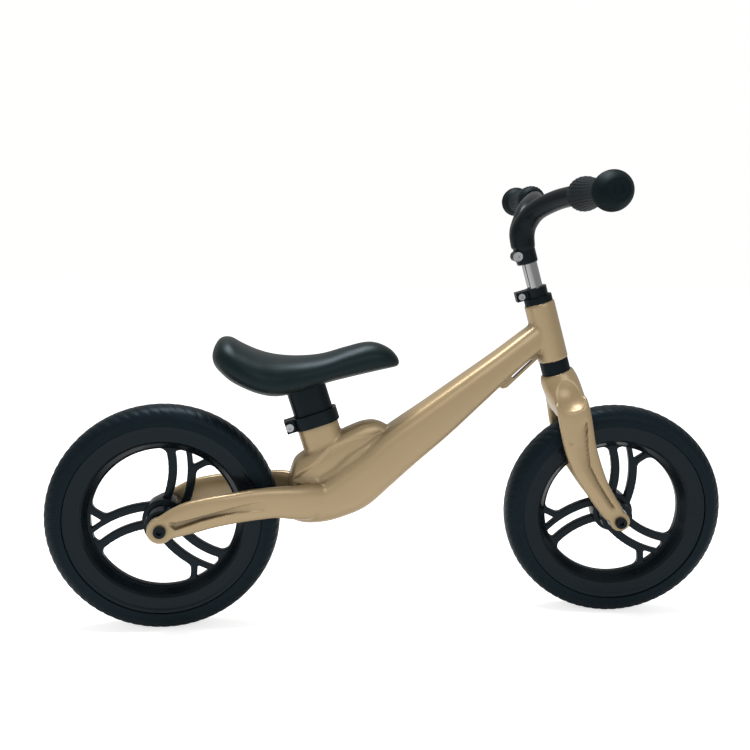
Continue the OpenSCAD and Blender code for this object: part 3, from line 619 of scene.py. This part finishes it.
# Section: r = middle + half sign(cos a) |cos a|^round, y = half sign(sin a) |sin a|^round, with short ribs
# on the shoulders, a fine groove below them and slanted shallow waves on the tread.
def tyre(name, matrix, body, node):
    half, bend = tyreShape["half"], tyreShape["round"]
    a = np.linspace(-92.0, 92.0, 46) * math.pi / 180
    skinR = tyreShape["middle"] + half * power(np.cos(a), bend)
    section = np.column_stack([skinR, half * power(np.sin(a), bend)])
    lip, seatR, between = tyreShape["lip"], tyreShape["seat"], tyreShape["between"]
    foot = [(lip, between), (seatR, between), (seatR, 0), (seatR, -between), (lip, -between)]
    section = np.vstack([section, foot])
    turn = 2 * math.pi * np.arange(tyreShape["around"]) / tyreShape["around"]
    r, y = section[:, 0][:, None], section[:, 1][:, None]
    out = np.column_stack([power(np.cos(a), 2 - bend), power(np.sin(a), 2 - bend)])
    out = np.vstack([out / np.linalg.norm(out, axis=1, keepdims=True), np.zeros((len(foot), 2))])
    low, high = tyreShape["ribBand"]
    band = np.clip(r - low, 0, 1) * np.clip((high - r) / 1.5, 0, 1)
    ribs = tyreShape["ribHeight"] * band * np.maximum(0, np.cos(tyreShape["ribs"] * turn))
    crown = np.clip((r - tyreShape["tread"]) / 2, 0, 1)
    slant = tyreShape["waves"] * turn + 0.45 * np.abs(y)
    waves = tyreShape["waveDepth"] * crown * np.minimum(0, np.cos(slant) - 0.35)
    groove = -tyreShape["grooveDepth"] * np.exp(-((r - tyreShape["groove"]) / 0.5) ** 2)
    swell = ribs + waves + groove
    swell[len(a):] = 0
    r, y = r + swell * out[:, :1], y + swell * out[:, 1:]
    grid = np.stack([r * np.cos(turn), y * np.ones(len(turn)), r * np.sin(turn)], -1)
    obj = joined(name, [gridMesh(name, moved(grid, matrix), wrapRows=True)])
    polish(obj, 50)
    dress(obj, foam, body, node)


for place, matrix, phase, hubLength in (("rear", rearWheel, 0, 80), ("front", frontWheel, 9, 68)):
    wheel(place + "Wheel", matrix, phase, hubLength, place + "_wheel", place + "_rim")
    tyre(place + "Tyre", matrix, place + "_wheel", place + "_tyre")
print("wheels made")


# Saddle

# Ring square to X, widest at height mid: half |cos a|^(2/n) wide and |sin a|^(2/n) of the way up or down.
def upright(k, mid, square, sides):
    a = 2 * math.pi * (np.arange(sides) + 0.5) / sides
    u, e = np.sin(a), 2 / square
    high = np.where(u > 0, k[:, 1:2] - mid, mid - k[:, 2:3]) * power(u, e)
    return np.stack([k[:, :1] + 0 * u, -k[:, 3:4] * power(np.cos(a), e), mid + high], -1)


# The saddle's keys are x, top, bottom and half width as a share of the width.
saddle = {"width": 122, "foot": 56, "gap": 0.3, "post": (51.6, 29), "socketWall": 3, "keys": [
    (122, 31, 28.5, 0.05), (119, 38, 24.5, 0.13), (110, 47, 22, 0.185), (94, 54, 18.5, 0.225),
    (77, 54.6, 14.5, 0.24), (52, 48, 8.6, 0.26), (22, 39, 1, 0.31), (-8, 35.8, -9, 0.38),
    (-36, 37, -14, 0.46), (-58, 42, -10.6, 0.5), (-78, 50.5, -3, 0.485), (-94, 59, 5.5, 0.44),
    (-106, 58, 16, 0.37), (-113, 49.5, 24.5, 0.27), (-116, 41, 32, 0.12)]}
levelSeat = seat @ axes((1, 0, 0), side, (0, 0, 1), (0, 0, saddle["foot"])) @ np.array(
    Matrix.Rotation(math.asin(-seatAxis.x), 4, "Y"))


# Stuffed skin with a pocket for the base and one for the post's socket.
def saddleSkin():
    k = smooth(saddle["keys"], 14)
    k[:, 3] *= saddle["width"]
    rings = upright(k, k[:, 2:3] + 0.45 * (k[:, 1:2] - k[:, 2:3]), 2.3, 112)
    saddlePad = joined("saddleSkin", [gridMesh("saddleSkin", moved(rings, levelSeat))])
    base = smooth(saddle["keys"][3:13], 6)
    half = base[:, 3] * saddle["width"] * 0.62 + saddle["gap"]
    tray = np.column_stack([base[:, 0], base[:, 2] + 8 + saddle["gap"], base[:, 2] - 4, half])
    tray = upright(tray, base[:, 2:3] + 6, 3, 48)
    cut(saddlePad, [gridMesh("tray", moved(tray, levelSeat))])
    room = 2 * (saddle["socketWall"] + saddle["gap"])
    length, width = saddle["post"]
    foot = saddle["foot"]
    cut(saddlePad, [column(oval(length + room, width + room), foot - 20, foot + 16, seat)])
    polish(saddlePad, 45)
    dress(saddlePad, skin, "saddle", "saddle_pad")


saddleSkin()
print("saddle made")


# Castings

def lofted(keys, matrix, sides):
    return gridMesh("loft", moved(loft(keys, 8, sides), matrix))


# 0 up to a, 1 from b, and t^2 (3 - 2t) between them.
def ease(a, b, x):
    t = np.clip((x - a) / (b - a), 0, 1)
    return t * t * (3 - 2 * t)


# Splits the faces whose middle the test picks, so that they can hold relief.
def refine(obj, matrix, test):
    bm = bmesh.new()
    bm.from_mesh(obj.data)
    inverse = np.linalg.inv(matrix)
    middle = np.array([f.calc_center_median() for f in bm.faces]) * 1000
    normal = np.array([f.normal for f in bm.faces]) @ matrix[:3, :3]
    picked = test(moved(middle, inverse), normal)
    edges = {e for f, on in zip(bm.faces, picked) if on for e in f.edges}
    bmesh.ops.subdivide_edges(bm, edges=list(edges), cuts=1, use_grid_fill=True)
    bm.to_mesh(obj.data)
    bm.free()


# Moves side faces inwards by a depth that depends on where they are in the given frame.
def sink(obj, matrix, depth):
    mesh = obj.data
    n = len(mesh.vertices)
    co, normal = np.empty(n * 3, np.float32), np.empty(n * 3, np.float32)
    mesh.vertices.foreach_get("co", co)
    mesh.vertices.foreach_get("normal", normal)
    p = moved(co.reshape(-1, 3).astype(float) * 1000, np.linalg.inv(matrix))
    q = normal.reshape(-1, 3) @ matrix[:3, :3]
    facing = ease(0.35, 0.75, q[:, 1] * np.sign(p[:, 1]))
    p[:, 1] -= np.sign(p[:, 1]) * facing * depth(p)
    mesh.vertices.foreach_set("co", (moved(p, matrix) * 0.001).astype(np.float32).ravel())
    mesh.update()


# Distance inside a closed outline, zero outside it.
def depthInside(p, outline):
    o = np.array(outline, float)
    a, b = o, np.roll(o, -1, 0)
    d = b - a
    t = np.clip(np.sum((p[:, None] - a) * d, axis=2) / np.sum(d * d, axis=1), 0, 1)
    near = np.min(np.linalg.norm(p[:, None] - a - t[..., None] * d, axis=2), axis=1)
    return np.where(within(p, o), near, 0)


headX, headZ = headFoot.x - rearAxle.x, headFoot.z
tubeFoot, tubeHead = np.array([300, 242.5]), np.array([headX - 18, headZ + 37])
tubeRun = (tubeHead - tubeFoot) / np.linalg.norm(tubeHead - tubeFoot)


# Key of the down tube at a share t of the way from its foot to its head.
def tubeKey(t, up, down, half):
    p = tubeFoot + t * (tubeHead - tubeFoot)
    return (p[0], 0, p[1], up, down, half, 3.2)


# Main and arm keys are those of a loft, and hump keys are x, top, bottom, half width. "up" and "low" bound
# the channel along an arm, and "leaf" the hollow side of the hump, as points of x, z.
frameShape = {
    "main": [
        tubeKey(1, 17, 17, 16), tubeKey(0.86, 17.5, 19, 17.5), tubeKey(0.72, 18, 21.5, 18.5),
        tubeKey(0.5, 20.5, 27, 20), tubeKey(0.25, 23.5, 33, 22), tubeKey(0, 27, 36, 24.5),
        (270, 0, 216, 27, 36.5, 27, 3.2), (240, 0, 193.5, 29, 39.5, 29, 3.2),
        (213, 0, 178, 26, 34.5, 31, 3.2), (190, 0, 171.5, 23, 31.5, 32, 3),
        (174, 0, 171, 20, 29, 30, 2.8), (165, 0, 173, 14, 24, 24, 2.6)],
    "hump": [
        (292, 266, 258, 5), (287, 270, 245, 11), (278, 274.5, 230, 14.5), (267, 276.5, 222, 16.5),
        (254, 274.5, 212, 18.5), (240, 269, 205, 20), (226, 262, 200, 21), (205, 249, 195, 22.5),
        (185, 238, 188, 22.5), (174, 231.5, 185, 21), (166, 223, 184, 18), (160.5, 207, 190, 11)],
    "arm": [
        (206, 19, 177, 18, 19.5, 12, 2.8), (186, 27, 177, 20, 26, 11, 2.8),
        (165, 34, 177.5, 20, 24, 9.5, 2.8), (143, 39, 178.5, 19.5, 21, 8, 3),
        (118, 43, 177.5, 19.5, 21, 7, 3.2), (90, 46.5, 174.5, 19, 20.5, 6.8, 3.4),
        (60, 49, 170, 19.5, 21, 6.6, 3.4), (32, 50.5, 162.5, 20, 20.5, 6.5, 3.4),
        (6, 50.5, 152, 16, 16.5, 6.5, 3.4)],
    "up": [(10, 161.5), (19, 160), (50, 167), (70, 172), (94, 178), (120, 183), (132, 184)],
    "low": [(10, 156), (19, 149), (50, 160), (70, 164.5), (94, 167.5), (120, 168.5), (132, 168.5)],
    "leaf": [
        (220, 250), (240, 258), (260, 263), (278, 266), (285, 262), (300, 277), (280, 258), (260, 243),
        (240, 230), (220, 212), (200, 199), (185, 195), (170, 197), (160, 199), (172, 212), (185, 220),
        (195, 230), (210, 245)],
    "strap": [
        (-92, -20), (-88, -28.5), (-82, -31), (-27, -25.4), (6, -20.5), (6, -14), (-31.4, -14),
        (-33, -22.8), (-68, -26.5), (-69.7, -14), (-92, -14)],
    "strapHalf": 4, "armDepth": 6, "leafDepth": 3.2, "hatch": 0.3, "boss": 16.5, "bossEnds": (44, 57),
    "headR": 20, "headLength": 80, "headBore": 15.5, "bearing": 17.05, "bearingDepth": 7, "boltHole": 4.3,
    "seatTube": (54.6, 32), "seatTubeEnds": (-60, 15), "seatBore": (51.7, 29.1), "seatSlit": (-60, -20, 1),
}


# Loft keys on one side of the middle plane, s being 1 or -1.
def mirrored(keys, s):
    return [(k[0], s * k[1]) + tuple(k[2:]) for k in keys]


# How far the frame's sides sink: arm channels with fine hatching, and the hump's hollow sides.
def frameDepth(p):
    x, z, aside = p[:, 0], p[:, 2], np.abs(p[:, 1])
    up = np.interp(x, *np.array(frameShape["up"]).T)
    low = np.interp(x, *np.array(frameShape["low"]).T)
    f = (z - low) / (up - low)
    deep = frameShape["armDepth"] * ease(9, 20, x) * (1 - 0.8 * ease(45, 128, x)) * (1 - ease(120, 132, x))
    arm = deep * ease(0, 0.3, f) * (1 - ease(0.82, 1, f)) * (aside > 38)
    hatch = frameShape["hatch"] * np.sin(2 * math.pi * (x + 0.9 * z) / 4)
    hatch *= ease(0.1, 0.25, f) * (1 - ease(0.55, 0.7, f)) * ease(22, 30, x) * (1 - ease(105, 118, x))
    inside = depthInside(p[:, [0, 2]], frameShape["leaf"])
    return arm + hatch * (aside > 38) + frameShape["leafDepth"] * ease(0, 7, inside) * (aside > 6)


# Faces of the arms' and the hump's sides
def frameRelief(p, normal):
    x, z = p[:, 0], p[:, 2]
    arm = (x > 4) & (x < 136) & (np.abs(p[:, 1]) > 40) & (np.abs(z - 168) < 24)
    hump = (x > 155) & (x < 305) & (z > 188) & (z < 285)
    return (arm | hump) & (np.abs(normal[:, 1]) > 0.25)


# Down tube, hump, arms, bosses, head tube and seat tube grown into one, then bored, slit and strapped.
def frameCasting():
    shape = frameShape
    inner, outer = shape["bossEnds"]
    hump = smooth(shape["hump"], 8)
    mid = hump[:, 2:3] + 0.35 * (hump[:, 1:2] - hump[:, 2:3])
    parts = [lofted(shape["main"], bike, 72), gridMesh("hump", moved(upright(hump, mid, 2.8, 72), bike))]
    for s in (1, -1):
        parts.append(lofted(mirrored(shape["arm"], s), bike, 56))
        parts.append(tube(shape["boss"], *sorted((inner * s, outer * s)), rearWheel, 72))
    high, deep = shape["headLength"], shape["bearingDepth"]
    parts.append(column(circle(shape["headR"], 96), 0, high, head))
    parts.append(column(oval(*shape["seatTube"]), *shape["seatTubeEnds"], seat))
    obj = fused("frameCasting", parts, 1.9, 5)
    refine(obj, bike, frameRelief)
    sink(obj, bike, frameDepth)
    c, s = tubeRun
    strapFrame = bike @ axes((c, 0, s), (-s, 0, c), (0, -1, 0), (tubeHead[0], 0, tubeHead[1]))
    half = shape["strapHalf"]
    strap = column(rounded(shape["strap"], 0.8, 4), -half, half, strapFrame)
    cut(obj, [column(circle(shape["headBore"], 64), -3, high + 3, head)])
    pocket = circle(shape["bearing"], 64)
    cut(obj, [column(pocket, -3, deep, head), column(pocket, high - deep, high + 3, head)])
    hole = shape["boltHole"]
    cut(obj, [column(oval(*shape["seatBore"]), -105, 20, seat),
              tube(hole, 30, 70, rearWheel, 32), tube(hole, -70, -30, rearWheel, 32)])
    cut(obj, [column(slit(*shape["seatSlit"]), -4, 20, seat)])
    own = bpy.data.meshes.new_from_object(obj)
    bpy.data.objects.remove(obj)
    obj = joined("frameCasting", [own, strap])
    polish(obj, 42)
    dress(obj, gold, "frame_body", "frame")


frameCasting()
print("frame made")

# Crown keys are those of a loft. Leg keys are x, y, share of the drop, half depth, half thickness and
# squareness. "wall" and "floor" bound a leg's channel in front and behind, as points of height, x.
fork = {
    "crown": [
        (1, 0, -17, 22.5, 20.5, 21, 2), (1.5, 0, -25, 25, 22.5, 22, 2.2), (2.5, 0, -36, 25.5, 23.5, 28, 2.5),
        (3, 0, -48, 24, 23.5, 36, 2.8), (4, 0, -61, 22.5, 22.5, 42, 3.2), (4, 0, -74, 21, 21, 44, 3.6)],
    "leg": [
        (3.8, 31, 0.228, 21.5, 11, 3), (3.6, 36, 0.307, 21.8, 8.5, 3), (1.9, 38, 0.395, 22, 7.5, 3.2),
        (0.2, 39.5, 0.487, 21.3, 7, 3.4), (0.6, 41, 0.575, 20.5, 6.5, 3.4), (3, 42.5, 0.667, 18.8, 6.5, 3.4),
        (8, 43.5, 0.772, 16.3, 6.5, 3.4), (14.7, 44.5, 0.873, 15, 6.5, 3.4),
        (21.8, 44.5, 0.956, 13.8, 6.5, 3.4)],
    "wall": [(-212, 24.8), (-198, 19.6), (-167, 10.6), (-142, 5.5), (-114, 9.2), (-93, 14.2), (-80, 16.7)],
    "floor": [(-212, 18.0), (-206, 15.2), (-183, 6.8), (-157, -3.4), (-132, -8.5), (-114, -9.8), (-89, 1.6),
              (-76, 10)],
    "drop": 229, "top": -16.99, "boss": 13.4, "bossEnds": (38, 51), "archR": 30, "archHeight": -101,
    "scoop": (4, 62, -31), "scoopR": 39.5, "bore": 12.75, "boreFoot": -43, "boltHole": 4.3,
    "channelDepth": 3.6, "hatch": 0.18, "pit": (-11.5, -105), "pitDepth": 0.9,
}


# Rings of a ball: radius r cos a at the height r sin a.
def ball(centre, r, matrix):
    a = np.linspace(-math.pi / 2, math.pi / 2, 40)
    p = np.column_stack([np.maximum(r * np.cos(a), 0.02), r * np.sin(a)])
    return gridMesh("ball", moved(lathe(p, 72) + np.array(centre), matrix))


# How far a leg's side sinks: a channel with a steep front wall and fine hatching, and a small round pit.
def forkDepth(p):
    x, h = p[:, 0], p[:, 2]
    front = np.interp(h, *np.array(fork["wall"]).T)
    rear = np.interp(h, *np.array(fork["floor"]).T)
    f = np.clip((x - rear) / np.maximum(front - rear, 1), 0, 1)
    d = fork["channelDepth"] * f ** 1.3 * (1 - ease(front - 0.9, front + 0.5, x))
    d *= ease(-214, -204, h) * (1 - ease(-92, -76, h))
    hatch = fork["hatch"] * np.sin(2 * math.pi * (h + 0.8 * x) / 3.6) * ease(0.1, 0.3, f) * (x < front - 1)
    d += hatch * ease(-205, -195, h) * (1 - ease(-150, -135, h))
    pit = np.hypot(x - fork["pit"][0], h - fork["pit"][1])
    return (d + fork["pitDepth"] * (1 - ease(1.5, 3.2, pit))) * (np.abs(p[:, 1]) > 30)


# Crown and two legs grown into one, then opened by an arch for the wheel and scooped at the shoulders.
def forkCasting():
    parts = [lofted(fork["crown"], steered, 72)]
    drop = fork["drop"]
    inner, outer = fork["bossEnds"]
    for s in (1, -1):
        keys = [(x, s * y, -drop * share, w, w, t, square) for x, y, share, w, t, square in fork["leg"]]
        parts.append(lofted(keys, steered, 56))
        parts.append(tube(fork["boss"], *sorted((inner * s, outer * s)), frontWheel, 72))
    obj = fused("forkCasting", parts, 1.5, 4)
    r, high = fork["archR"], fork["archHeight"]
    arch = [(-r * math.cos(t), high + r * math.sin(t)) for t in np.linspace(0, math.pi, 48)]
    along = steered @ axes((0, 1, 0), (0, 0, 1), (1, 0, 0), (0, 0, 0))
    cut(obj, [column(arch + [(r, high - 80), (-r, high - 80)], -60, 60, along)])
    x, y, z = fork["scoop"]
    cut(obj, [ball((x, s * y, z), fork["scoopR"], steered) for s in (1, -1)])
    own = bpy.data.meshes.new_from_object(obj)
    bpy.data.objects.remove(obj)
    obj = fused("forkCasting", [own], 1.15, 24)
    sink(obj, steered, forkDepth)
    hole = fork["boltHole"]
    cut(obj, [column(circle(fork["bore"], 64), fork["boreFoot"], 0, steered),
              tube(hole, 30, 60, frontWheel, 32), tube(hole, -60, -30, frontWheel, 32)])
    cut(obj, [column(circle(60, 48), fork["top"], 20, steered)])
    polish(obj, 42)
    dress(obj, gold, "fork_body", "fork")


forkCasting()
print("fork made")

# Heights up the steering axis, and reach forward of it. "knob" is where a grip's round end has its middle.
handle = {
    "foot": 134, "rise": 206, "reach": 53, "knob": 212, "grip": 105, "bar": 11, "stem": 13.8, "bore": 10.05,
    "slit": (-30, -9, 1), "slitEnds": (130, 159), "pinch": (-14.5, 147), "lug": 6.5, "lugHalf": 9,
    "headRecess": 6.3, "nutRecess": 5, "pinchBore": 2.6,
}


# Stem, pinch lug and two curved arms in one, with the straight bars that carry the grips.
def handlebar():
    y = handle["knob"] - handle["grip"] - 0.6
    x, z = handle["reach"], handle["rise"]
    parts = [column(circle(handle["stem"], 72) + np.array([-1.8, 0]), handle["foot"], 164, barFrame)]
    lug = barFrame @ axes((1, 0, 0), side, (0, 0, 1), (handle["pinch"][0], 0, handle["pinch"][1]))
    half = handle["lugHalf"]
    parts.append(tube(handle["lug"], -half, half, lug, 48))
    rods = []
    for s in (1, -1):
        path = [(-2.5, 0, 156, 15.5), (0.5, s * 2, 174, 16), (9, s * 10, z - 18, 14.5),
                (x * 0.4, s * 28, z - 7, 13.3), (x * 0.72, s * 60, z - 1, 12.6),
                (x * 0.97, s * (y - 14), z, 12), (x, s * (y - 6), z, 12), (x, s * y, z, 12)]
        parts.append(gridMesh("arm", moved(bar(path, 8, 48), barFrame)))
        end = barFrame @ axes((1, 0, 0), side, (0, 0, 1), (x, 0, z))
        rods.append(tube(handle["bar"], *sorted((s * (y - 3), s * (handle["knob"] + 4))), end, 48))
    obj = fused("handlebarCasting", parts, 1.4, 5)
    cut(obj, [column(circle(handle["bore"], 64), 120, 170, barFrame)])
    cut(obj, [column(slit(*handle["slit"]), *handle["slitEnds"], barFrame)])
    cut(obj, [tube(handle["headRecess"], -30, -half, lug, 40), tube(handle["nutRecess"], half, 30, lug, 40)])
    cut(obj, [tube(handle["pinchBore"], -20, 20, lug, 32)])
    own = bpy.data.meshes.new_from_object(obj)
    bpy.data.objects.remove(obj)
    obj = joined("handlebarCasting", [own] + rods)
    polish(obj, 42)
    dress(obj, satinBlack, "handlebar_body", "handlebar")


handlebar()


# "waist" and "end" are pairs of radius and length, with the knob's middle at length 0.
gripShape = {
    "knob": 21.5, "bore": 11.05, "boreEnd": 4.5, "around": 336, "ribs": 28, "rib": 0.45, "ring": 0.26,
    "waist": [(13.6, -105), (16.8, -102), (19, -97), (19.6, -91), (19.2, -83), (17.6, -73), (15.9, -59),
              (15, -43), (15.2, -29), (16, -14.4)],
    "end": [(12.2, 17.6), (10.5, 17.9), (8, 17.9), (6.4, 17.9), (5.6, 17.3), (4.8, 17.3), (4, 17.9),
            (0.05, 18)],
}


# Grip turned about Y, with ribs along the flared part, rings on the knob and a dot in its end.
def gripPiece(name, s, node):
    shape = gripShape
    a = np.linspace(math.atan2(-14.4, 16), math.atan2(17, 13.2), 46)
    knob = shape["knob"] * np.column_stack([np.cos(a), np.sin(a)])
    bore = [(0.05, shape["boreEnd"]), (shape["bore"], shape["boreEnd"]), (shape["bore"], -104.6), (13, -105)]
    outer = np.vstack([bore, smooth(shape["waist"], 10), knob[1:], shape["end"]])
    ring = lathe(outer, shape["around"])
    turn = 2 * math.pi * np.arange(shape["around"]) / shape["around"]
    r, along = outer[:, :1], outer[:, 1:2]
    rib = shape["rib"] * ease(-98, -94, along) * (1 - ease(-26, -22, along)) * (r > 14)
    rib = rib * np.maximum(0, np.cos(shape["ribs"] * turn)) ** 0.7
    fine = shape["ring"] * np.cos(2 * math.pi * along / 2.3) * ease(-8, -5, along) * (1 - ease(12, 14, along))
    grow = 1 + (rib + fine * (r > 18)) / np.maximum(r, 1)
    ring[..., 0] *= grow
    ring[..., 2] *= grow
    ring[..., 1] *= s
    place = barFrame @ axes((1, 0, 0), side, (0, 0, 1), (handle["reach"], s * handle["knob"], handle["rise"]))
    obj = joined(name, [gridMesh(name, moved(ring, place))])
    polish(obj, 50)
    dress(obj, rubber, "handlebar_body", node)


gripPiece("leftGrip", 1, "left_grip")
gripPiece("rightGrip", -1, "right_grip")
print("handlebar and grips made")
